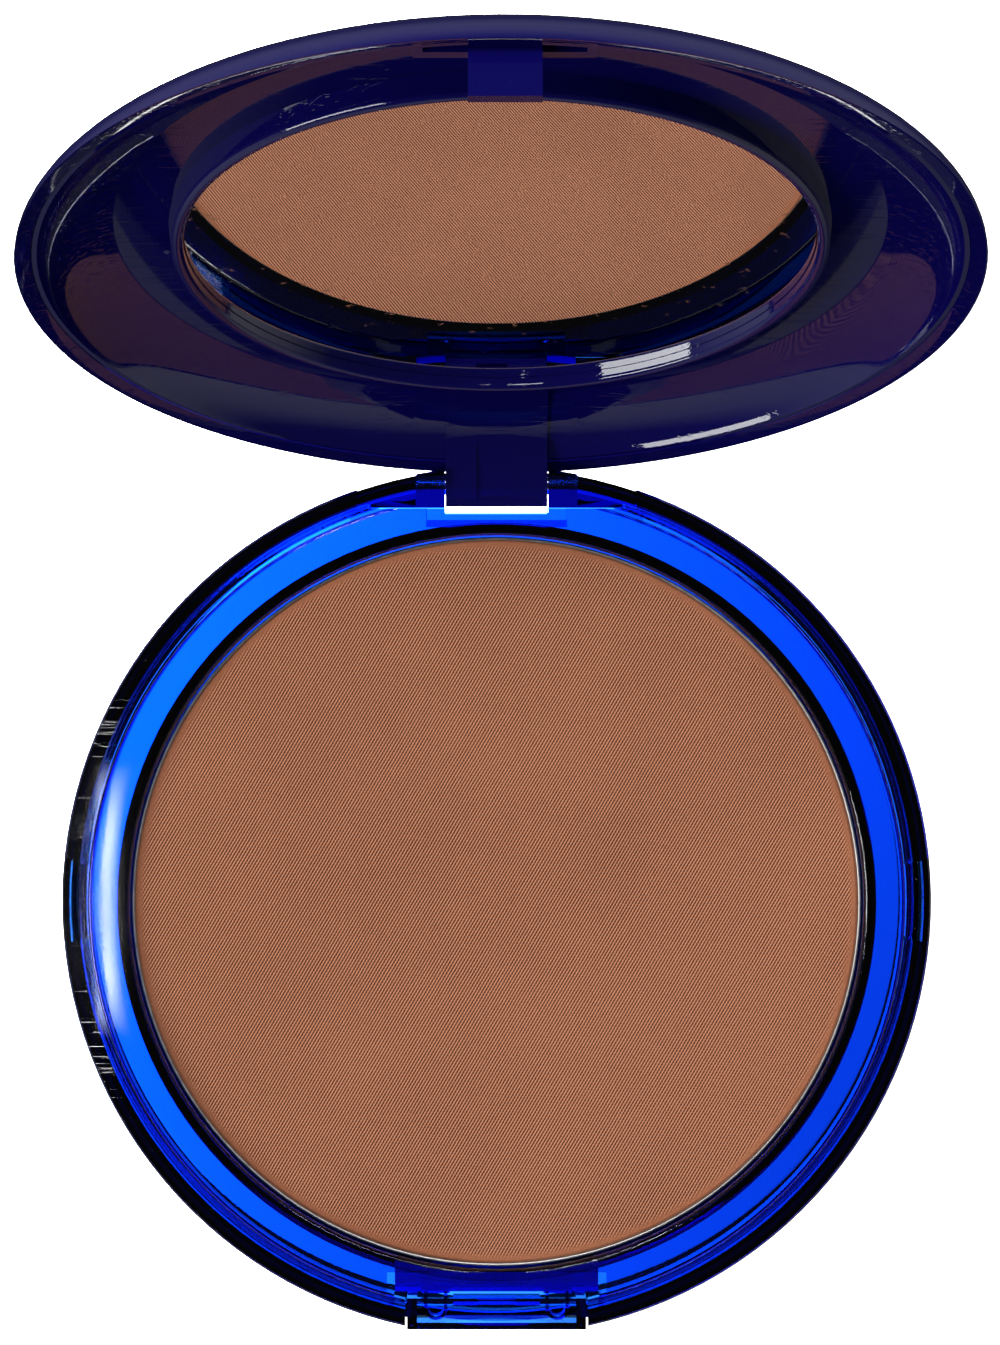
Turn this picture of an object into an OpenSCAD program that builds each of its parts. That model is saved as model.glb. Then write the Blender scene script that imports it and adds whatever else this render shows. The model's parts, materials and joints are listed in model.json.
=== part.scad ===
// Round powder compact with a hinged mirror lid, a press-in pan of powder and a push-button catch.
// Millimetres. The origin is the centre of the underside, +Z up, +Y towards the hinge.
// The lid is drawn shut and then swung back to its stop, which is how the compact rests.

/* [Case] */
// Outer radius of the base and the lid
case_r = 50; // [49.5:0.1:50.5]
// Height of the plane where the lid's rim meets the base
base_h = 8.5; // [8.4:0.05:8.6]
// Height of the lid's dome above its rim
dome_h = 9.5; // [9.4:0.05:9.7]
// Wall thickness of the base's floor
floor_t = 1.3; // [1.2:0.05:1.5]

/* [Tray and powder] */
// Height of the deck above the rim plane
deck_rise = 2.0; // [1.8:0.05:2.1]
// Radius of the well that holds the pan
well_r = 42.5; // [42.3:0.05:42.6]
// Outer radius of the metal pan
pan_r = 41.9; // [41.7:0.05:42.0]
// Depth of the powder's surface below the deck
powder_drop = 1.8; // [1.6:0.1:2.2]

/* [Lid] */
// Angle of the lid's swing, from shut to its stop
lid_swing = 111.4; // [100:0.2:112]
// Radius of the mirror glass
mirror_r = 32.7; // [32.4:0.05:32.75]
// Thickness of the mirror glass
mirror_t = 1.0; // [0.8:0.1:1.0]

/* [Catch] */
// Width of the push button
button_w = 20.6; // [20:0.1:20.8]
// How far the button travels when it is pressed
button_travel = 0.7; // [0.5:0.1:0.7]

/* [Hidden] */

$fn = 128;
fine = 32;             // segments round small parts
eps = 0.01;
big = 60;              // longer than the case is wide, for cuts
seam = 0.05;           // gap between mouldings that are fitted together
shut_gap = 0.08;       // gap under the lid's rim when it is shut

// Base section
foot_r = 48;                          // radius where the flat underside ends
turn_z = 6;                           // height where the curved side turns upright
wall_in_r = case_r - 1.95;            // inside of the base's rim
rim_top = base_h - shut_gap;
deck_z = base_h + deck_rise;
deck_r = 46.8;                        // upright side of the raised deck
tray_r = wall_in_r - seam;            // outside of the tray's flange
flange_t = 1.1;
flange_top = rim_top - 0.05;
ledge_z = flange_top - flange_t - seam;
well_t = 1.0;
well_floor_z = 2.3;
well_floor_t = 1.0;
ledge_r = 47.2;
ledge_t = 1.2;
pan_t = 0.4;
pad_t = 0.2;
pan_z = well_floor_z + well_floor_t + pad_t;
powder_top = deck_z - powder_drop;
pan_top = powder_top + 0.25;

deck_wall = 0.35;

// Snap tabs at the two sides
tab_half = 5.4;                       // half angle of a tab
tab_reach = 1.05;                     // depth of the window behind a tab
strip_front = -75;                    // where the sunk strip beside the deck starts and ends
strip_back = 69;

// Hinge
hinge_y = 48.1;
hinge_z = base_h - 2.1;
pin_r = 0.7;
pin_half = 9.1;
tongue_half = 5.85;
ear_in = 5.95;
ear_r = 1.6;
heel_r = 2.3;                         // the base's rim is rounded to this about the pin
relief_half = 16.1;                   // half width of the dip behind the hinge
relief_z = hinge_z - 2.85;
dip_z = 4.6;
block_half = 9.3;                     // half width of the block that the pin runs in
chord_half = 14.8;
barrel_r = 1.7;                       // round end of the tongue, on the pin
chord_y = 45.1;                       // straight edge of the deck at the hinge
slot_y = 44.65;
pocket_z = 8.6;

// Lid section, as depths above the rim plane
lid_in_r = case_r - 1.65;
liner_r = lid_in_r - seam;
liner_in_r = 47.8;
liner_in_h = 7.95;
skin = 0.9;
liner_rise = dome_h - skin - seam;
ceiling_h = 5.5;                      // flat part of the inside, round the mirror
liner_step = 0.65;
bezel_r = 34.1;
bezel_in_r = mirror_r + 0.1;
bezel_h = 2.9;
mirror_h = bezel_h + 1.4;
mirror_pad_t = 0.25;
seat_h = mirror_h + mirror_t + mirror_pad_t;
seat_t = 1.0;

// Catch
button_front = 49.26;                 // distance of the button's flat face from the centre
button_back = 45.7;
button_top = base_h - 0.2;
button_bottom = 3.95;
front_t = 0.8;
top_t = 0.9;
recess_half = 11.75;
recess_y = 43.65;
block_y = 44.9;
window_back = 46.45;
hook_half = 3.4;
hook_out = button_front - front_t - button_travel - 0.06;
hook_t = 1.1;
hook_drop = 4.7;
barb = 0.5;
catch_half = 5;
catch_z = base_h - hook_drop + 1.3 + 0.15;
frame_half = 8.45;
frame_in = 45.2;
spring_x = 7;

// Points of part of an ellipse
function arc(cx, cy, rx, ry, a0, a1, n) =
    [for (i = [0:n]) let (a = a0 + (a1 - a0) * i / n) [cx + rx * cos(a), cy + ry * sin(a)]];

// Points of a flat-topped dome's section, from its rim to its crown
function dome(r, h, n = 26) =
    [for (i = [0:n]) let (a = 90 * i / n) [r * pow(cos(a), 0.5), h * pow(sin(a), 1.08)]];

// A ring with a rectangular section
module ring(r_in, r_out, z0, z1) {
    translate([0, 0, z0])
        difference() {
            cylinder(r = r_out, h = z1 - z0);
            translate([0, 0, -1]) cylinder(r = r_in, h = z1 - z0 + 2);
        }
}

// A block given by its lowest and highest corners
module block(a, b) {
    translate(a) cube(b - a);
}

// Part of a ring between two angles
module sector(r_in, r_out, z0, z1, from, to) {
    rotate([0, 0, from])
        rotate_extrude(angle = to - from)
            translate([r_in, z0]) square([r_out - r_in, z1 - z0]);
}

module both_sides() {
    children();
    mirror([1, 0, 0]) children();
}

// The outer form of the base, solid
module base_form(top) {
    rotate_extrude()
        polygon(concat([[0, 0]],
                       arc(foot_r, turn_z, case_r - foot_r, turn_z, -90, 0, 18),
                       [[case_r, top - 0.25], [case_r - 0.25, top], [0, top]]));
}

// The hollow inside the base
module base_hollow() {
    rotate_extrude()
        polygon(concat([[0, floor_t]],
                       arc(wall_in_r - 1.2, floor_t + 1.2, 1.2, 1.2, -90, 0, 8),
                       [[wall_in_r, big], [0, big]]));
}

module hinge_bore(half, r) {
    translate([-half, hinge_y, hinge_z]) rotate([0, 90, 0]) cylinder(r = r, h = 2 * half, $fn = fine);
}

// One of the two ears that hold the pin
module ear() {
    intersection() {
        union() {
            translate([ear_in, hinge_y, hinge_z]) rotate([0, 90, 0]) cylinder(r = ear_r, h = pin_half - ear_in);
            block([ear_in, hinge_y - ear_r, 1], [pin_half, hinge_y + 0.6, hinge_z]);
        }
        base_form(base_h);
    }
}

// The block that holds an ear, with a sloping wing beside it
module hinge_block() {
    front = chord_y + 0.15;
    top = hinge_z + ear_r;
    block([ear_in, front, 0.5], [block_half, hinge_y, top]);
    translate([block_half - eps, 0, 0]) rotate([90, 0, 90])
        linear_extrude(chord_half - 0.3 - block_half)
            polygon([[front, 0.5], [front, top], [hinge_y, top - hinge_y + front], [hinge_y, 0.5]]);
}

// Slot that the lid's tongue swings in: right through at the front, over a skirt at the back
module tongue_slot() {
    block([-ear_in, slot_y, -1], [ear_in, hinge_y - 1.2, big]);
    block([-ear_in, slot_y, hinge_z - 3.3], [ear_in, big, big]);
}

module base_shell() {
    guide_in = button_w / 2 - 1.15;
    guide_out = button_w / 2;
    color("mediumblue")
        difference() {
            union() {
                difference() {
                    union() {
                        difference() {
                            base_form(rim_top);
                            base_hollow();
                        }
                        intersection() {
                            base_form(rim_top);
                            union() {
                                ring(ledge_r, case_r - 1, ledge_z - ledge_t, ledge_z);
                                block([-chord_half, chord_y + 0.15, 0.5], [chord_half, big, relief_z]);
                                both_sides()
                                    hinge_block();
                            }
                        }
                        ring(19, 20, 1, well_floor_z - seam);
                        ring(34, 35, 1, well_floor_z - seam);
                        both_sides()
                            intersection() {
                                base_form(rim_top);
                                block([guide_in, -47.9, 1], [guide_out, -45.2, button_bottom - seam]);
                            }
                    }
                    // dips behind the pin and beside the block that it runs in
                    difference() {
                        block([-block_half, hinge_y, relief_z], [block_half, big, big]);
                        hinge_bore(block_half + 1, heel_r);
                    }
                    both_sides()
                        difference() {
                            block([block_half - eps, 40, dip_z], [relief_half, big, big]);
                            cylinder(r = wall_in_r - 0.15, h = big);
                        }
                    // opening for the button
                    block([-button_w / 2 - 0.2, -big, button_bottom - 0.2],
                          [button_w / 2 + 0.2, -button_back + 0.5, big]);
                    // windows behind the tray's snap tabs
                    for (a = [0, 180])
                        sector(ledge_r - 0.1, wall_in_r + tab_reach, 3.8, big, a - tab_half, a + tab_half);
                }
                both_sides() ear();
            }
            tongue_slot();
            hinge_bore(pin_half + 1, pin_r + 0.02);
        }
}

// The raised deck, its well and the flange round them, before anything is cut
module tray_form() {
    foot = pan_r + 0.12;               // the well's wall, below its rounded edge
    rotate_extrude()
        polygon(concat([[0, well_floor_z], [foot, well_floor_z], [foot + well_t, well_floor_z + well_t],
                        [well_r + well_t, deck_z - flange_t],
                        [deck_r - deck_wall, deck_z - flange_t], [deck_r - deck_wall, flange_top - flange_t],
                        [tray_r, flange_top - flange_t], [tray_r, flange_top], [deck_r, flange_top]],
                       arc(deck_r - 0.35, deck_z - 0.35, 0.35, 0.35, 0, 90, 5),
                       arc(well_r, deck_z - 0.7, well_r - foot, 0.7, 90, 180, 6),
                       [[foot, well_floor_z + well_floor_t], [0, well_floor_z + well_floor_t]]));
}

// A leg under the flange, with a lip that snaps into the base's window
module snap_tab(at) {
    leg_in = ledge_r + 0.05;
    leg_out = tray_r - seam;
    foot_z = 4.6;
    rotate([0, 0, at - tab_half + 0.3])
        rotate_extrude(angle = 2 * tab_half - 0.6)
            polygon([[leg_in, foot_z], [leg_out, foot_z], [leg_out + 0.35, foot_z + 0.3],
                     [leg_out + 0.35, foot_z + 0.6], [leg_out, foot_z + 0.9],
                     [leg_out, flange_top - 0.6], [leg_in, flange_top - 0.6]]);
}

module inner_tray() {
    strip_r = deck_r + 0.06;
    color("royalblue")
        difference() {
            union() {
                difference() {
                    tray_form();
                    // sunk strips beside the raised deck
                    for (m = [0, 1]) mirror([m, 0, 0])
                        sector(strip_r, big, flange_top - 0.5, big, strip_front, strip_back);
                    // straight back edge, and the recess for the button
                    block([-chord_half, chord_y, -1], [chord_half, big, big]);
                    block([-recess_half, -big, -1], [recess_half, -recess_y, big]);
                    block([-recess_half - 0.8, -big, deck_z - 0.7], [recess_half + 0.8, -42.25, big]);
                    // sunk pocket in front of the hinge
                    block([-8, 43.8, -1], [8, big, big]);
                }
                block([-8.1, well_r + 0.5, pocket_z - 1], [8.1, chord_y, pocket_z]);
                // block behind the button
                difference() {
                    block([-recess_half + 0.05, -block_y, 4], [recess_half - 0.05, -40, 8.1]);
                    cylinder(r = well_r - 0.1, h = big);
                }
                // shelf under the button and the two posts that the springs bear on
                block([-spring_x - 1.8, -45.4, 3.7], [spring_x + 1.8, -well_r - 0.2, 4.6]);
                both_sides()
                    block([spring_x - 1.6, -45.3, 4.5], [spring_x + 1.6, -well_r - 0.5, 7.1]);
                // snap tabs
                for (a = [0, 180]) snap_tab(a);
            }
            tongue_slot();
        }
}

module powder_pan() {
    color("gainsboro")
        rotate_extrude()
            polygon(concat([[0, pan_z]], arc(pan_r - 0.8, pan_z + 0.8, 0.8, 0.8, -90, 0, 5),
                           arc(pan_r - pan_t / 2, pan_top - pan_t / 2, pan_t / 2, pan_t / 2, 0, 180, 8),
                           arc(pan_r - 0.8, pan_z + 0.8, 0.8 - pan_t, 0.8 - pan_t, 0, -90, 4),
                           [[0, pan_z + pan_t]]));
}

module pressed_powder() {
    powder_r = pan_r - pan_t;
    color("sienna")
        rotate_extrude()
            polygon(concat([[0, pan_z + pan_t]],
                           arc(pan_r - 0.8, pan_z + 0.8, 0.8 - pan_t, 0.8 - pan_t, -90, 0, 4),
                           [[powder_r, powder_top - 0.2], [powder_r - 0.25, powder_top], [0, powder_top]]));
}

module pan_adhesive() {
    color("ivory") ring(6, 38, pan_z - pad_t, pan_z);
}

module hinge_pin() {
    color("silver") hinge_bore(pin_half, pin_r);
}

module push_button() {
    half = button_w / 2;
    column = 1.15;
    color("dodgerblue")
        difference() {
            // outside, with the lower edges of the front and the sides cut back
            intersection() {
                translate([0, -button_back, 0]) rotate([90, 0, 0])
                    linear_extrude(button_front - button_back)
                        polygon([[-half, button_top], [-half, button_bottom + column],
                                 [-half + column, button_bottom], [half - column, button_bottom],
                                 [half, button_bottom + column], [half, button_top]]);
                translate([half, 0, 0]) rotate([0, -90, 0])
                    linear_extrude(2 * half)
                        polygon([[button_bottom, -button_back], [button_bottom, -button_front + front_t],
                                 [button_bottom + front_t, -button_front], [button_top, -button_front],
                                 [button_top, -button_back]]);
            }
            // hollow behind the front wall, open at the back
            block([-half + column, -button_front + front_t, -1], [half - column, 0, button_top - top_t]);
            // window that the hook drops through
            block([-half + column, -button_front + front_t, 0], [half - column, -window_back, big]);
            // shallow rest for a fingertip on the upper edge
            translate([-2.2, -button_back - 0.3, button_top + 2.55]) rotate([0, 90, 0])
                cylinder(r = 2.9, h = 4.4, $fn = fine);
        }
    color("dodgerblue")
        block([-catch_half, -window_back, catch_z], [catch_half, -button_back, button_top - top_t + eps]);
}

// A leaf bent into a U, from its post to the button's front wall
module leaf_spring() {
    r = 1.35;
    leaf = 0.4;
    bow_y = -button_front + front_t + r + 0.02;
    post_y = -45.3;
    translate([0, 0, 4.9])
        linear_extrude(2)
            polygon(concat([[spring_x - r, post_y]], arc(spring_x, bow_y, r, r, 180, 360, 16),
                           [[spring_x + r, post_y], [spring_x + r - leaf, post_y]],
                           arc(spring_x, bow_y, r - leaf, r - leaf, 360, 180, 16),
                           [[spring_x - r + leaf, post_y]]));
}

module button_springs() {
    color("deepskyblue") both_sides() leaf_spring();
}

// The lid's parts are drawn shut; this swings them back to the stop
module swung() {
    translate([0, hinge_y, hinge_z]) rotate([-lid_swing, 0, 0]) translate([0, -hinge_y, -hinge_z]) children();
}

module dome_solid(r, h) {
    translate([0, 0, base_h]) rotate_extrude() polygon(concat([[0, 0]], dome(r, h)));
}

module lid_shell() {
    color("midnightblue")
        swung()
            difference() {
                dome_solid(case_r, dome_h);
                translate([0, 0, -eps]) dome_solid(lid_in_r, dome_h - skin + eps);
                // the rim slopes inwards
                translate([0, 0, base_h - eps]) cylinder(r1 = case_r - 0.25, r2 = lid_in_r - 0.15, h = 0.6);
            }
}

// The room inside the liner, less an inset
module liner_hollow(inset) {
    intersection() {
        translate([0, 0, -eps]) dome_solid(liner_in_r - inset, liner_in_h - inset);
        translate([0, 0, base_h - 1]) cylinder(r = big, h = 1 + ceiling_h - inset);
    }
}

// The arm that carries the lid: a barrel round the pin and a web up into the liner
module tongue() {
    // distances from the pin, towards the back and up, with the lid shut
    section = [[-0.2, -3.0], [1.3, -2.45], [1.7, -1.2], [1.7, 1.0], [1.45, 1.6], [-0.1, 2.6],
               [-0.3, 5.6], [-2, 7.4], [-3.9, 6.7], [-3.3, 5.6], [-2.8, 4.8]];
    intersection() {
        translate([tongue_half, hinge_y, hinge_z]) rotate([0, -90, 0])
            linear_extrude(2 * tongue_half)
                polygon([for (p = section) [p[1], p[0]]]);
        union() {
            dome_solid(liner_r, liner_rise);
            block([-tongue_half, hinge_y - 3, 0], [tongue_half, big, base_h + eps]);
            translate([-tongue_half, hinge_y, hinge_z]) rotate([0, 90, 0])
                cylinder(r = barrel_r, h = 2 * tongue_half);
        }
    }
}

module lid_liner() {
    color("navy")
        swung()
            difference() {
                union() {
                    difference() {
                        union() {
                            difference() {
                                dome_solid(liner_r, liner_rise);
                                liner_hollow(0);
                            }
                            // pad from the hinge to the bezel
                            intersection() {
                                difference() {
                                    dome_solid(liner_r - 0.3, liner_rise - 0.3);
                                    liner_hollow(0.5);
                                }
                                block([-tongue_half, bezel_r, 0], [tongue_half, hinge_y - 2.5, big]);
                            }
                        }
                        cylinder(r = bezel_r - 0.5, h = big);
                        translate([0, 0, -big + base_h + liner_step]) cylinder(r = big, h = big);
                    }
                    // bezel and mirror seat
                    bezel();
                    translate([0, 0, base_h + seat_h]) cylinder(r = bezel_in_r + 0.5, h = seat_t);
                    hook_frame();
                    tongue();
                }
                hinge_bore(tongue_half + 1, pin_r + 0.05);
                // groove down the face of the tongue
                translate([0, hinge_y, hinge_z]) rotate([lid_swing, 0, 0])
                    block([-2.3, -1.9, 0.75], [1.3, 4.4, 2.5]);
            }
}

module bezel() {
    lip = (bezel_r - bezel_in_r) / 2;
    translate([0, 0, base_h])
        rotate_extrude()
            polygon(concat([[bezel_in_r, seat_h + seat_t], [bezel_r + 0.35, seat_h + seat_t + 0.25],
                            [bezel_r + 0.3, 6]],
                           arc(bezel_in_r + lip, bezel_h + lip, lip, lip, 0, -180, 10)));
}

// The frame inside the free edge of the lid, with the hook that hangs from it
module hook_frame() {
    top = base_h + 3.6;
    low = base_h + liner_step;
    intersection() {
        dome_solid(liner_r, liner_rise);
        union() {
            block([-frame_half, -frame_in - 1.05, low], [frame_half, -frame_in, top]);
            both_sides() block([frame_half - 0.9, -big, low], [frame_half, -frame_in, top]);
            block([-hook_half, -big, low], [hook_half, -frame_in, top]);
        }
    }
    block([-hook_half, -hook_out, base_h - hook_drop], [hook_half, -hook_out + hook_t, low + 0.6]);
    translate([-hook_half, -hook_out + hook_t - eps, base_h - hook_drop]) rotate([90, 0, 90])
        linear_extrude(2 * hook_half) polygon([[0, 0], [0.1, 0], [barb, 0.8], [barb, 1.3], [0, 1.3]]);
}

module mirror_glass() {
    color("lightgray")
        swung() translate([0, 0, base_h + mirror_h]) cylinder(r = mirror_r, h = mirror_t);
}

module mirror_adhesive() {
    color("ivory")
        swung() translate([0, 0, base_h + mirror_h + mirror_t]) cylinder(r = 31, h = mirror_pad_t);
}

base_shell();
inner_tray();
powder_pan();
pressed_powder();
pan_adhesive();
hinge_pin();
push_button();
button_springs();
lid_shell();
lid_liner();
mirror_glass();
mirror_adhesive();
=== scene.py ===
"""Looks of the round powder compact: clear cobalt plastic, a mirror, a metal pan and pressed powder."""

import json
import math

import bpy
import numpy as np
from mathutils import Matrix, Vector


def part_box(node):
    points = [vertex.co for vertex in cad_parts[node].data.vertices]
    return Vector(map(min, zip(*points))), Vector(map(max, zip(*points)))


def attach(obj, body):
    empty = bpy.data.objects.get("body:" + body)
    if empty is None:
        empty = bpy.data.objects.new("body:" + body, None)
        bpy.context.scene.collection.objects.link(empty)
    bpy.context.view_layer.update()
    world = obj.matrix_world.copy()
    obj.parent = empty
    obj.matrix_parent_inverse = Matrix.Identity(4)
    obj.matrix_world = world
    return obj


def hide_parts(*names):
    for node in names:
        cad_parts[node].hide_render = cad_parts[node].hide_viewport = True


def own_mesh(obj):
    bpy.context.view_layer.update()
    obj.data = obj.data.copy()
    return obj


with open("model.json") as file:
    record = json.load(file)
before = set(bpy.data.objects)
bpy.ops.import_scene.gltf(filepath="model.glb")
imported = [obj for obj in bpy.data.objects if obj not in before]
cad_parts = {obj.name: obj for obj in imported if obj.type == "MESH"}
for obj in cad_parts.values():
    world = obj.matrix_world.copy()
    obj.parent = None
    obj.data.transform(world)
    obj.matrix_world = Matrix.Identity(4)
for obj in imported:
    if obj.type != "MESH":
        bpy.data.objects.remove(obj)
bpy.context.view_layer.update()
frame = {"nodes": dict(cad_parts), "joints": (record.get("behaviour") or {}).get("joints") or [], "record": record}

MM = 0.001
NODES = frame["nodes"]

# ---------------------------------------------------------------- places taken from the frame

DECK_RISE = 2.0 * MM  # the raised deck stands this far above the plane where the lid meets the base

case_low, case_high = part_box("base_shell")
CASE_R = (case_high.x - case_low.x) / 2
RIM_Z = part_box("inner_tray")[1].z - DECK_RISE
POWDER_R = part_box("pressed_powder")[1].x
JOINTS = {joint["name"]: joint for joint in frame["joints"]}
HINGE_POS = JOINTS["lid_hinge"]["pos_m"]
LID_SWING = math.radians(JOINTS["lid_hinge"]["range_deg"][1])
LID_NODES = frame["record"]["behaviour"]["bodies"]["lid"]

# ---------------------------------------------------------------- camera

CAMERA_SIDE = -0.075   # the camera's place, in case radii: to the side,
CAMERA_BACK = 0.7228   # towards the hinge,
CAMERA_RISE = 8.32     # and above the rim; it looks straight down
LENS = 96.87           # millimetres, as is the sensor
SENSOR = 36.0
SHIFT = (0.0268, -0.0636)  # the photograph is cropped off the middle of its view


def add_camera():
    """The photograph's view, from straight above a point near the hinge."""
    data = bpy.data.cameras.new("camera")
    data.lens = LENS
    data.sensor_width = SENSOR
    data.shift_x, data.shift_y = SHIFT
    data.clip_start = 0.01
    data.clip_end = 10
    camera = bpy.data.objects.new("camera", data)
    camera.location = (CAMERA_SIDE * CASE_R, CAMERA_BACK * CASE_R, RIM_Z + CAMERA_RISE * CASE_R)
    bpy.context.scene.collection.objects.link(camera)
    bpy.context.scene.camera = camera


# ---------------------------------------------------------------- node helpers


class Nodes:
    """A node tree with a few short ways to add nodes."""

    def __init__(self, tree):
        self.tree = tree

    def add(self, kind, **settings):
        node = self.tree.nodes.new(kind)
        for key, value in settings.items():
            setattr(node, key, value)
        return node

    def link(self, a, b):
        self.tree.links.new(a, b)

    def put(self, socket, value):
        if hasattr(value, "links"):
            self.link(value, socket)
        else:
            socket.default_value = value

    def math(self, operation, a, b=0.0):
        node = self.add("ShaderNodeMath", operation=operation)
        self.put(node.inputs[0], a)
        self.put(node.inputs[1], b)
        return node.outputs[0]

    def vector(self, operation, a, *others):
        node = self.add("ShaderNodeVectorMath", operation=operation)
        for socket, value in zip(node.inputs, (a, *others)):
            self.put(socket, value)
        return node.outputs

    def axes(self, vector):
        node = self.add("ShaderNodeSeparateXYZ")
        self.link(vector, node.inputs[0])
        return node.outputs

    def noise(self, vector, scale, detail, rough):
        node = self.add("ShaderNodeTexNoise")
        self.link(vector, node.inputs["Vector"])
        node.inputs["Scale"].default_value = scale
        node.inputs["Detail"].default_value = detail
        node.inputs["Roughness"].default_value = rough
        return node.outputs["Fac"]

    def ramp(self, fac, *stops):
        node = self.add("ShaderNodeValToRGB")
        points = node.color_ramp.elements
        while len(points) < len(stops):
            points.new(0.5)
        for point, (position, colour) in zip(points, stops):
            point.position = position
            point.color = (*colour, 1.0)
        self.link(fac, node.inputs["Fac"])
        return node.outputs["Color"]

    def range(self, value, from_low, from_high, to_low, to_high):
        node = self.add("ShaderNodeMapRange")
        self.link(value, node.inputs["Value"])
        for key, number in zip(("From Min", "From Max", "To Min", "To Max"),
                               (from_low, from_high, to_low, to_high)):
            node.inputs[key].default_value = number
        return node.outputs["Result"]

    def bump(self, height, distance, strength, normal=None):
        node = self.add("ShaderNodeBump")
        node.inputs["Distance"].default_value = distance
        node.inputs["Strength"].default_value = strength
        self.link(height, node.inputs["Height"])
        if normal is not None:
            self.link(normal, node.inputs["Normal"])
        return node.outputs["Normal"]


class Shader(Nodes):
    """A new material, with its surface's sockets set by name."""

    def __init__(self, name):
        self.material = bpy.data.materials.new(name)
        self.material.use_nodes = True
        super().__init__(self.material.node_tree)
        self.bsdf = self.tree.nodes["Principled BSDF"]
        self.output = self.tree.nodes["Material Output"]

    def set(self, **values):
        for key, value in values.items():
            self.put(self.bsdf.inputs[key.replace("_", " ")], value)

    def place(self):
        return self.add("ShaderNodeTexCoord").outputs["Object"]


# ---------------------------------------------------------------- clear plastic

BASE_LOSS = (3.4, 1.56, 0.37)     # light lost per millimetre of plastic: red, green, blue
LID_LOSS = (1.8, 1.6, 0.75)
LID_TINT = (0.006, 0.004, 0.16)   # navy, of what the lid's plastic gives back and lets through
LID_CLEAR = 0.55                  # share of the light that goes on into the lid's plastic
UNTINTED = (1.0, 1.0, 1.0)
PLASTIC_IOR = 1.49
SCRATCH_TURNS = (0.3, 1.4, 2.5)   # directions of the three sets of fine scratches
SCRATCH_GRAIN = (60, 2400, 2400)  # stretches noise into lines
SCRATCHED = 0.3                   # strength on the faces that are handled
SMEARS = 60                       # how many features there are in a metre
SPECKS = 1800
RIPPLES = 30
SMEAR_ROUGH = (0.015, 0.05)       # roughness where the skin is clean, and where it is smeared
SPECK_ROUGH = 0.08                # added by a speck
RIPPLE_DEPTH = 0.02 * MM
SCRATCH_DEPTH = 0.01 * MM


def cobalt(name, loss, tint=UNTINTED, clear=1.0, scratches=0.0):
    """Clear cobalt plastic: light is lost in its depth, and its skin has the marks of handling."""
    s = Shader(name)
    top = max(loss)
    volume = s.add("ShaderNodeVolumeAbsorption")
    volume.inputs["Color"].default_value = (*[1 - x / top for x in loss], 1.0)
    volume.inputs["Density"].default_value = top / MM
    s.link(volume.outputs[0], s.output.inputs["Volume"])
    s.set(Base_Color=(*tint, 1.0), IOR=PLASTIC_IOR, Transmission_Weight=clear)
    place = s.place()
    smears = s.range(s.noise(place, SMEARS, 3, 0.6), 0.35, 0.75, *SMEAR_ROUGH)
    specks = s.range(s.noise(place, SPECKS, 1, 0.5), 0.7, 0.8, 0.0, SPECK_ROUGH)
    s.set(Roughness=s.math("ADD", smears, specks))
    normal = s.bump(s.noise(place, RIPPLES, 1, 0.4), RIPPLE_DEPTH, 0.15)
    if scratches:
        for turn in SCRATCH_TURNS:
            stretch = s.add("ShaderNodeMapping")
            stretch.inputs["Rotation"].default_value = (turn, turn * 1.7, turn)
            stretch.inputs["Scale"].default_value = SCRATCH_GRAIN
            s.link(place, stretch.inputs["Vector"])
            line = s.noise(stretch.outputs["Vector"], 1.0, 0, 0.5)
            normal = s.bump(s.range(line, 0.7, 0.78, 0, 1), SCRATCH_DEPTH, scratches, normal)
    s.set(Normal=normal)
    return s.material


# ---------------------------------------------------------------- powder

RIB = (2651.0, -1563.0, 0.0)      # ribs of the pressed cloth, in turns per metre
CROSS = (2787.0, 1529.0, 0.0)     # and the weave's two other directions,
THREAD = (136.0, 3093.0, 0.0)     # at nearly the same pitch
WEAVE = ((RIB, 0.7), (CROSS, 0.18), (THREAD, 0.12))  # each wave's share of the height
DRIFT = 0.12 * MM                 # how far the cloth's threads wander
DRIFTS = 120                      # how many features there are in a metre
GRAINS = 6000
CLOUDS = 45
POWDER_DEPTH = 0.08 * MM
PLAIN_RIM = (1.3 * MM, 0.5 * MM)  # inside the powder's edge, the pattern fades out between these
# the powder's colour runs from dark to pale with the twill's height: painted shade in its grooves and painted
# highlight on its ridges, with random tone on top
POWDER_DARK = (0.085, 0.019, 0.006)
POWDER_MID = (0.33, 0.116, 0.055)
POWDER_PALE = (0.63, 0.27, 0.15)


def wave(s, place, direction):
    """A soft ridge that repeats along a direction."""
    turns = s.vector("DOT_PRODUCT", place, direction)["Value"]
    return s.math("SINE", s.math("MULTIPLY", turns, 2 * math.pi))


def twill(s, place):
    """The height of the cloth's pattern, with threads that wander a little, and a plain rim."""
    drift = s.add("ShaderNodeTexNoise")
    s.link(place, drift.inputs["Vector"])
    drift.inputs["Scale"].default_value = DRIFTS
    wander = s.vector("MULTIPLY", drift.outputs["Color"], (DRIFT, DRIFT, DRIFT))[0]
    at = s.vector("ADD", place, wander)[0]
    ribs, cross, thread = (s.math("MULTIPLY", wave(s, at, turns), share) for turns, share in WEAVE)
    height = s.math("ADD", ribs, s.math("ADD", cross, thread))
    radius = s.vector("LENGTH", s.vector("MULTIPLY", place, (1, 1, 0))[0])["Value"]
    inside = s.range(radius, POWDER_R - PLAIN_RIM[0], POWDER_R - PLAIN_RIM[1], 1, 0)
    return s.math("MULTIPLY", height, inside)


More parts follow.
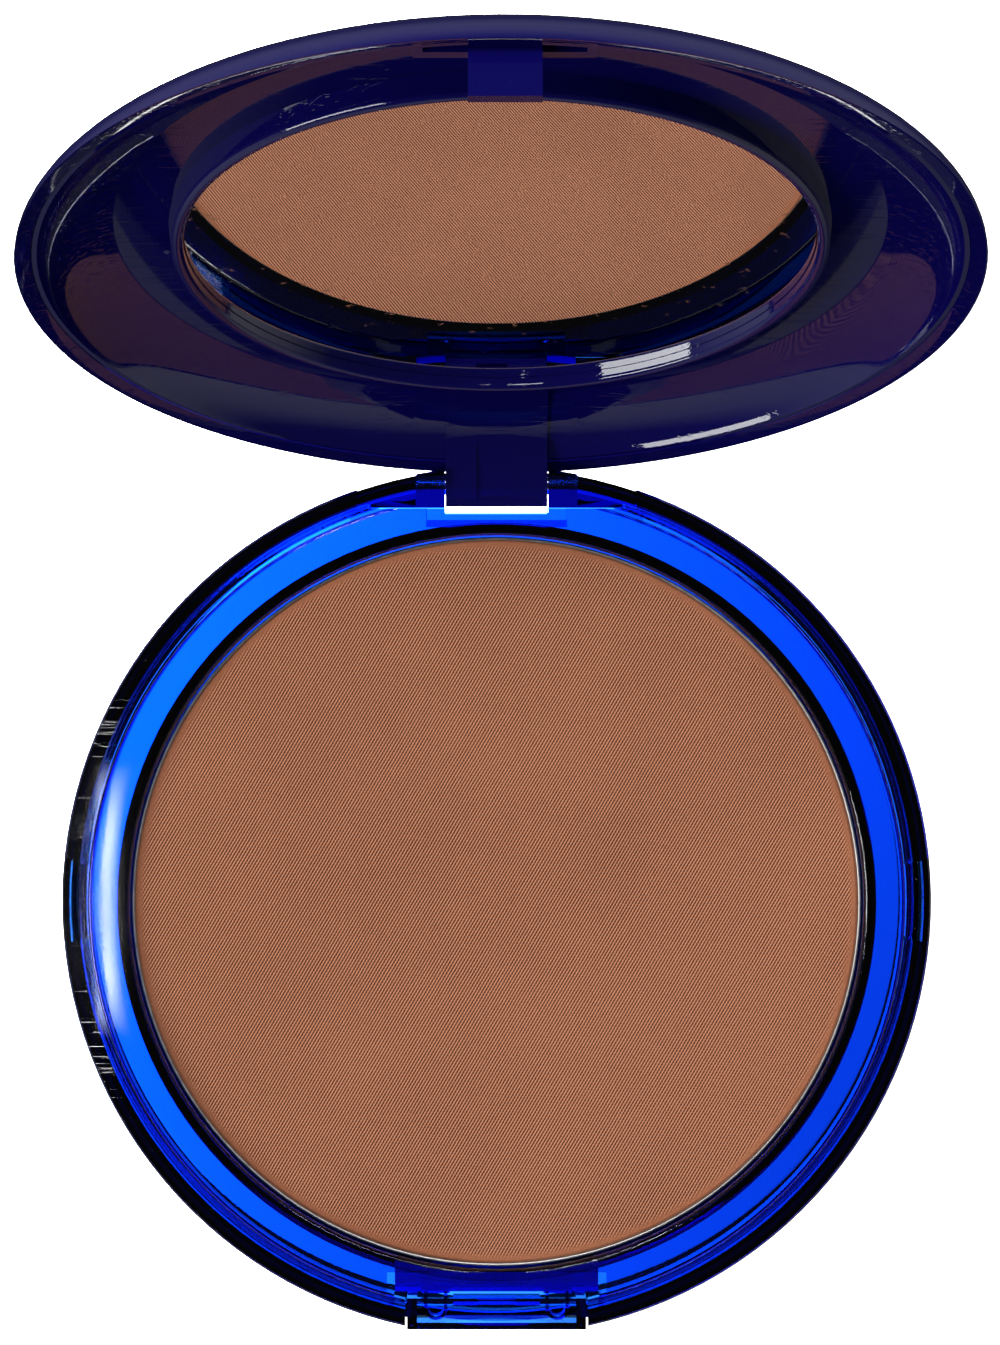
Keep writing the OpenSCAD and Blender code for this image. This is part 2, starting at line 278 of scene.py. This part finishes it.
def powder():
    """Pressed powder with the twill of the cloth it was pressed under and a plain rim; its colour is darker in the
    twill's grooves and paler on its ridges, painted shade and painted highlight of the relief, with random tone on
    top.
    """
    s = Shader("powder")
    place = s.place()
    weave = twill(s, place)
    grain = s.noise(place, GRAINS, 2, 0.6)
    cloud = s.noise(place, CLOUDS, 3, 0.55)
    uneven = s.math("ADD", s.range(grain, 0.3, 0.7, -0.12, 0.12), s.range(cloud, 0.3, 0.7, -0.05, 0.05))
    # painted shade in the twill's grooves and painted highlight on its ridges, plus random tone
    shade = s.math("ADD", s.range(weave, -0.55, 0.55, 0.0, 1.0), uneven)
    colour = s.ramp(shade, (0.0, POWDER_DARK), (0.5, POWDER_MID), (1.0, POWDER_PALE))
    s.set(Base_Color=colour, Roughness=0.85, Specular_IOR_Level=0.25, Sheen_Weight=0.08)
    height = s.math("ADD", s.math("MULTIPLY", weave, 0.6), s.math("MULTIPLY", grain, 0.5))
    s.set(Normal=s.bump(height, POWDER_DEPTH, 1.0))
    return s.material


# ---------------------------------------------------------------- metal, mirror and adhesive

PAN_GREY = (0.4, 0.39, 0.38)
PIN_GREY = (0.6, 0.6, 0.62)
SILVER = (0.93, 0.94, 0.94, 1)
FOAM_DARK = (0.62, 0.58, 0.46)
FOAM_PALE = (0.8, 0.77, 0.66)
PAN_MARKS = 900                   # how many features there are in a metre
PIN_MARKS = 2500
DUST = 700
CELLS = 2500
MARK_DEPTH = 0.004 * MM
CELL_DEPTH = 0.03 * MM


def metal(name, colour, roughness, fineness):
    """Metal with fine marks."""
    s = Shader(name)
    marks = s.noise(s.place(), fineness, 3, 0.6)
    dull = tuple(0.85 * c for c in colour)
    s.set(Base_Color=s.ramp(marks, (0.3, dull), (0.7, colour)), Metallic=1.0)
    s.set(Roughness=s.range(marks, 0.3, 0.7, roughness * 0.8, roughness * 1.3))
    s.set(Normal=s.bump(marks, MARK_DEPTH, 0.4))
    return s.material


def mirror():
    """Silvered glass with the faintest dust."""
    s = Shader("mirror")
    dust = s.noise(s.place(), DUST, 2, 0.6)
    s.set(Base_Color=SILVER, Metallic=1.0, Roughness=s.range(dust, 0.62, 0.8, 0.0, 0.25))
    return s.material


def adhesive():
    """Pale foam tape."""
    s = Shader("adhesive")
    cells = s.noise(s.place(), CELLS, 2, 0.6)
    s.set(Base_Color=s.ramp(cells, (0.3, FOAM_DARK), (0.7, FOAM_PALE)), Roughness=0.7)
    s.set(Normal=s.bump(cells, CELL_DEPTH, 0.5))
    return s.material


BASE_PLASTIC = cobalt("base_plastic", BASE_LOSS, scratches=SCRATCHED)
TRAY_PLASTIC = cobalt("tray_plastic", BASE_LOSS)
BUTTON_PLASTIC = cobalt("button_plastic", BASE_LOSS)
LID_PLASTIC = cobalt("lid_plastic", LID_LOSS, LID_TINT, LID_CLEAR, SCRATCHED)
LOOKS = {
    "base_shell": BASE_PLASTIC,
    "inner_tray": TRAY_PLASTIC,
    "push_button": BUTTON_PLASTIC,
    "button_springs": BUTTON_PLASTIC,
    "lid_shell": LID_PLASTIC,
    "lid_liner": LID_PLASTIC,
    "powder_pan": metal("pan_metal", PAN_GREY, 0.4, PAN_MARKS),
    "pressed_powder": powder(),
    "hinge_pin": metal("pin_steel", PIN_GREY, 0.25, PIN_MARKS),
    "pan_adhesive": adhesive(),
    "mirror_adhesive": adhesive(),
    "mirror_glass": mirror(),
}

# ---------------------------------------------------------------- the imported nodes, with smooth turned faces

CLOSE = math.cos(math.radians(28))  # normals nearer each other than this are shaded as one
SKEW = 0.06                         # a turned face's normal leans round its axis by less than this
CORE = 2 * MM                       # nearer the axis than this, a face isn't taken as turned
RING_STEP = 0.02 * MM               # corners of one ring agree in radius and height to this
POINT_STEP = 0.01 * MM              # corners at one point agree to this
TINY = 1e-9
UP = Vector((0, 0, 1))


def turning_axis(name):
    """Where the axis that a node's round faces turn about passes, and its direction."""
    if name in LID_NODES:
        swing = Matrix.Rotation(-LID_SWING, 3, "X")
        pin = Vector((0, *HINGE_POS[1:]))
        return pin + swing @ -Vector((0, pin.y, 0)), swing @ UP
    return Vector((0, 0, 0)), UP


def unit(rows):
    """Each row at length one, and a row of nothing left as it is."""
    return rows / np.maximum(np.linalg.norm(rows, axis=1), TINY)[:, None]


def averaged(groups, normals, weights):
    """For each corner, the mean of the normals in its group that are close to its own."""
    result = normals.copy()
    for members in groups.values():
        own = normals[members]
        close = (own @ own.T) > CLOSE
        result[members] = unit(close @ (own * weights[members][:, None]))
    return result


def smooth(node, name):
    """Gives turned faces the true normals of their turned form, so highlights run round without steps."""
    mesh = node.data
    at, axis = turning_axis(name)
    local = node.matrix_world.inverted()
    at = np.array(local @ at)
    axis = np.array((local.to_3x3() @ axis).normalized())

    # every point's height along the axis, distance from it and direction away from it
    points = np.array([tuple(v.co) for v in mesh.vertices])
    away = points - at
    height = away @ axis
    radial = away - height[:, None] * axis
    radius = np.linalg.norm(radial, axis=1)
    radial /= np.maximum(radius, TINY)[:, None]
    tangent = np.cross(axis, radial)

    # every face's corners, and the normal and area of the face that each corner is on
    faces = mesh.polygons
    owner = np.repeat(np.arange(len(faces)), [len(f.vertices) for f in faces])
    corner = np.array([v for f in faces for v in f.vertices])
    normal = np.array([tuple(f.normal) for f in faces])[owner]
    area = np.array([f.area for f in faces])[owner]

    # a face is turned if at all its corners it leans neither way round the axis
    skew = np.abs((normal * tangent[corner]).sum(1))
    turned = np.ones(len(faces), bool)
    np.logical_and.at(turned, owner, (skew < SKEW) & (radius[corner] > CORE))
    rings, others = {}, {}
    for index, vertex in enumerate(corner):
        if turned[owner[index]]:
            ring = (round(radius[vertex] / RING_STEP), round(height[vertex] / RING_STEP))
            rings.setdefault(ring, []).append(index)
        else:
            others.setdefault(tuple(np.round(points[vertex] / POINT_STEP)), []).append(index)

    # a turned corner's normal is averaged in the plane through the axis, then swung round to its place
    outward = unit(np.stack([(normal * radial[corner]).sum(1), normal @ axis], 1))
    profile = averaged(rings, outward, area)
    round_normal = profile[:, :1] * radial[corner] + profile[:, 1:] * axis
    free_normal = averaged(others, normal, area)
    result = np.where(turned[owner][:, None], round_normal, free_normal)
    mesh.normals_split_custom_set([tuple(v) for v in result])


def dress(node, name):
    """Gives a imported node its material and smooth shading."""
    node.data.materials.clear()
    node.data.materials.append(LOOKS[name])
    for face in node.data.polygons:
        face.use_smooth = True
        face.material_index = 0
    smooth(node, name)


def add_springs():
    """The leaf springs as one piece of their own, hung on the base."""
    node = NODES["button_springs"]
    springs = node.copy()
    springs.data = node.data.copy()
    springs.name = "leaf_springs"
    bpy.context.scene.collection.objects.link(springs)
    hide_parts("button_springs")
    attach(springs, "base")
    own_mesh(springs)


for name, node in NODES.items():
    dress(node, name)
add_springs()

# ---------------------------------------------------------------- room

WHITE = (1, 1, 1, 1)
BLACK = (0, 0, 0, 1)

PANEL_LOW = (-0.13, -0.166)
PANEL_HIGH = (0.14, 0.194)
PANEL_Z = -0.5
PANEL_SLOPE = (-7.4, 3.4, 0.0)  # how fast the glow's logarithm grows along X and Y, per metre
PANEL_GLOW = 1.55               # the glow's logarithm below the part's origin
PANEL_LEAST = 1.06              # just past white

STRIP_LOW = (-0.1465, -0.14)
STRIP_HIGH = (-0.131, -0.03)
STRIP_Z = 1.0
STRIP_GLOW = 22
STRIP_ACROSS = (-0.131, -0.142)    # X where the strip is dark, and where it is fully lit
STRIP_FAR_END = (-0.032, -0.06)    # the same in Y, at its two ends
STRIP_NEAR_END = (-0.138, -0.115)

SOFTBOXES = (  # name, place, point it is aimed at, size, power in watts
    ("softbox_left", (-0.9, -0.2, 0.75), (0, 0, 0.02), (0.35, 0.7), 9.2),
    ("softbox_back", (0.35, 0.9, 0.9), (0, 0, 0.02), (0.6, 0.6), 4),
    ("softbox_top", (-0.06, 0.3, 0.62), (0, 0.03, 0.02), (0.25, 0.15), 2.7),
)

# grey of the room from straight below (0) past the horizon (0.5) to straight above (1)
SKY = ((0.0, 0.03), (0.12, 0.05), (0.3, 0.4), (0.47, 0.55), (0.6, 0.45), (0.75, 0.05), (1.0, 0.03))


def add_sheet(name, low, high, z, order):
    """A flat rectangle, whose order of corners says whether it faces up or down."""
    mesh = bpy.data.meshes.new(name)
    corners = [(low[0], low[1], 0), (high[0], low[1], 0), (high[0], high[1], 0), (low[0], high[1], 0)]
    mesh.from_pydata(corners, [], [order])
    sheet = bpy.data.objects.new(name, mesh)
    sheet.location.z = z
    bpy.context.scene.collection.objects.link(sheet)
    return sheet


def add_panel():
    """A lit white panel far below, which the clear plastic is seen against."""
    panel = add_sheet("panel", PANEL_LOW, PANEL_HIGH, PANEL_Z, (0, 1, 2, 3))
    s = Shader("panel")
    slope = s.math("ADD", s.vector("DOT_PRODUCT", s.place(), PANEL_SLOPE)["Value"], PANEL_GLOW)
    glow = s.math("MAXIMUM", s.math("EXPONENT", slope), PANEL_LEAST)
    s.set(Base_Color=(0.8, 0.8, 0.8, 1), Roughness=0.6, Emission_Color=WHITE, Emission_Strength=glow)
    panel.data.materials.append(s.material)


def add_strip():
    """A narrow overhead strip light that fades towards one side and at its ends."""
    strip = add_sheet("strip", STRIP_LOW, STRIP_HIGH, STRIP_Z, (0, 3, 2, 1))
    s = Shader("strip")
    axes = s.axes(s.place())
    across = s.range(axes["X"], *STRIP_ACROSS, 0, 1)
    ends = s.math("MULTIPLY", s.range(axes["Y"], *STRIP_FAR_END, 0, 1),
                  s.range(axes["Y"], *STRIP_NEAR_END, 0, 1))
    glow = s.math("MULTIPLY", s.math("MULTIPLY", across, ends), STRIP_GLOW)
    s.set(Base_Color=BLACK, Emission_Color=WHITE, Emission_Strength=glow)
    strip.data.materials.append(s.material)


def add_light(name, at, aim, size, power):
    """A rectangular softbox."""
    data = bpy.data.lights.new(name, "AREA")
    data.shape = "RECTANGLE"
    data.size, data.size_y = size
    data.energy = power
    light = bpy.data.objects.new(name, data)
    light.location = at
    light.rotation_euler = (Vector(aim) - Vector(at)).to_track_quat("-Z", "Y").to_euler()
    bpy.context.scene.collection.objects.link(light)


def add_world():
    """A dim room that is paler near the horizon."""
    world = bpy.data.worlds.new("world")
    bpy.context.scene.world = world
    world.use_nodes = True
    s = Nodes(world.node_tree)
    direction = s.add("ShaderNodeTexCoord").outputs["Generated"]
    height = s.range(s.axes(direction)["Z"], -1, 1, 0, 1)
    colour = s.ramp(height, *((position, (grey, grey, grey)) for position, grey in SKY))
    background = world.node_tree.nodes["Background"]
    s.link(colour, background.inputs["Color"])
    background.inputs["Strength"].default_value = 1.0


add_camera()
add_panel()
add_world()
for softbox in SOFTBOXES:
    add_light(*softbox)
add_strip()
bpy.context.scene.view_settings.view_transform = "Standard"
